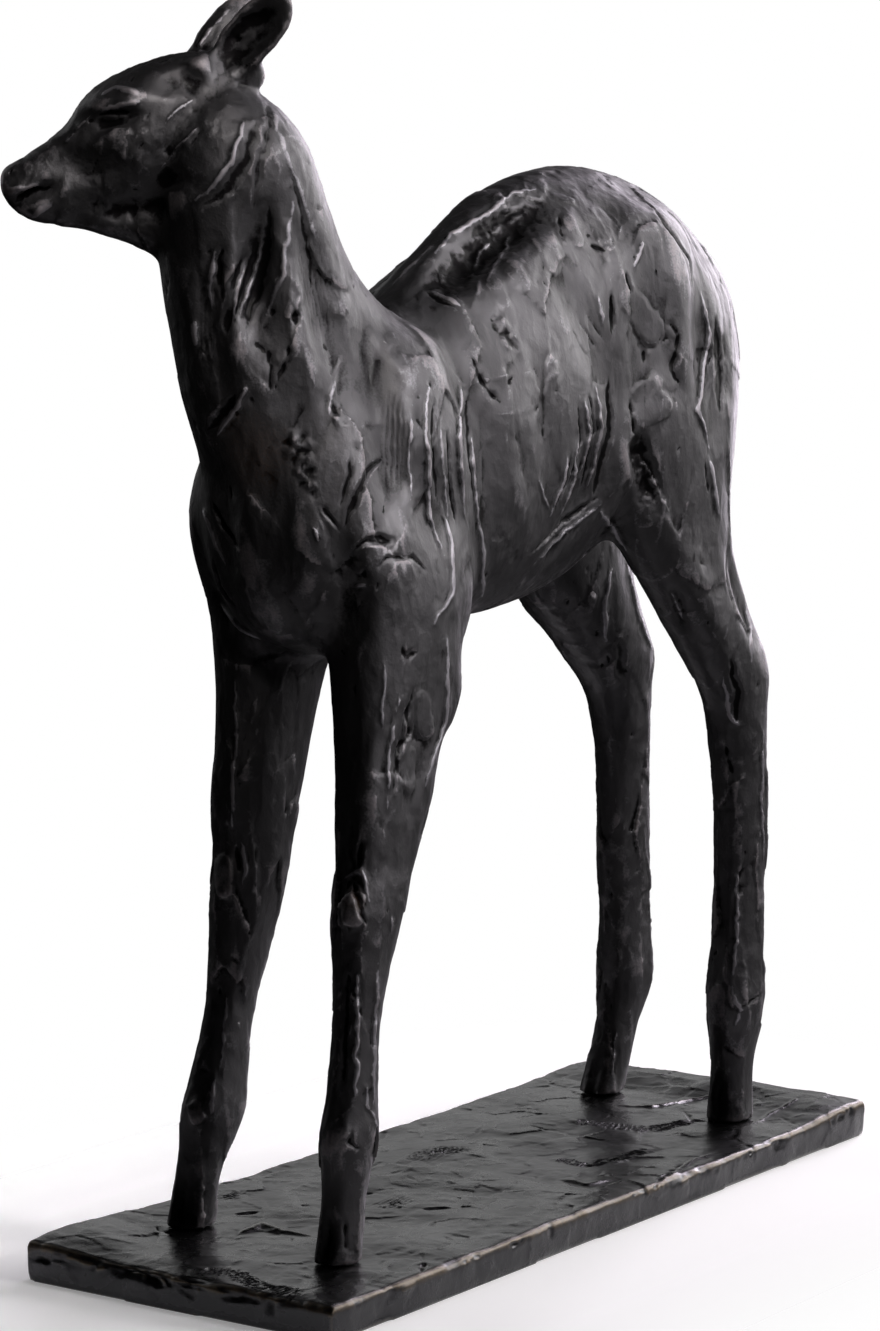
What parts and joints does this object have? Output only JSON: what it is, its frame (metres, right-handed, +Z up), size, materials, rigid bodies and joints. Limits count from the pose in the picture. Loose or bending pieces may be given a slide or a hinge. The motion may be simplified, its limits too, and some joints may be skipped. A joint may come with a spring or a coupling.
{
  "type": "bronze deer sculpture",
  "caption": "Cast bronze young deer standing with its head turned to its right, on a thin rectangular bronze slab with a hand-worked top.",
  "frame": {"origin": "middle of the slab's underside, on the surface that the sculpture stands on", "axes": "+Z up; the deer faces -X along the slab, and turns its head to its right, +Y"},
  "size_m": [0.5111, 0.1968, 0.6262],
  "materials": {
    "deer_bronze": "cast bronze, black-brown patina, waxed",
    "slab_bronze": "cast bronze, black-brown patina, waxed, worn golden along its edges"
  },
  "bodies": {
    "root": {"deer": "deer_bronze", "slab": "slab_bronze"}
  },
  "joints": []
}
